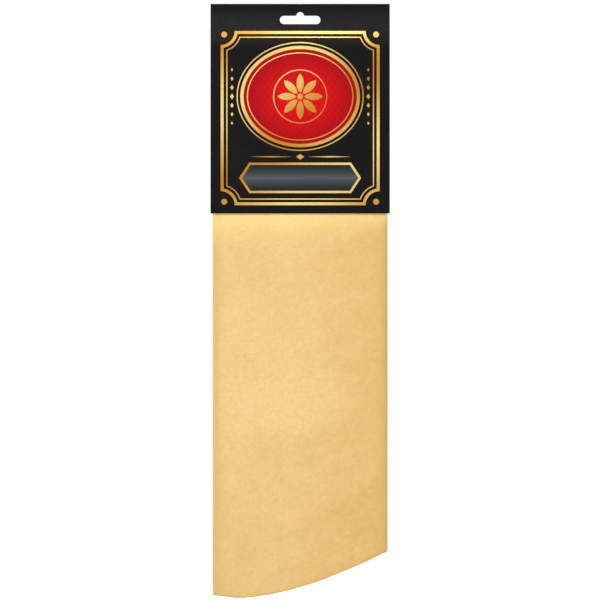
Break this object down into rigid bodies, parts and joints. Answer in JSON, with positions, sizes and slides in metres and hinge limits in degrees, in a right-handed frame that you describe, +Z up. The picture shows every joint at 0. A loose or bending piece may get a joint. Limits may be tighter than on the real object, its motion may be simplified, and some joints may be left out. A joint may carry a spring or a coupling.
{
  "type": "chamois leather",
  "caption": "Natural chamois leather folded lengthwise into a long four-layer strip, hanging from a folded board header card with a hanging slot.",
  "frame": {"origin": "top of the hanging slot's lobe, where the pack bears on its peg, midway across the card and on the fold's centre plane", "axes": "+Z up along the hanging leather's length, -Y out of the front of the card towards the viewer, +X across the card to the viewer's right"},
  "size_m": [0.141, 0.0083, 0.4674],
  "materials": {
    "card_board": "satin",
    "chamois": "matte",
    "staple_wire": "satin",
    "adhesive": "satin"
  },
  "bodies": {
    "back_panel_and_leather": {"card_back_panel": "card_board", "chamois_skin": "chamois", "staple_left": "staple_wire", "staple_right": "staple_wire"},
    "front_panel": {"card_front_panel": "card_board", "adhesive_pad_left": "adhesive", "adhesive_pad_right": "adhesive"}
  },
  "joints": [
    {"name": "crease_fold", "type": "hinge", "parent": "back_panel_and_leather", "child": "front_panel", "pos_m": [0, 0, 0.006], "axis": [-1, 0, 0], "range_deg": [0, 175]}
  ]
}
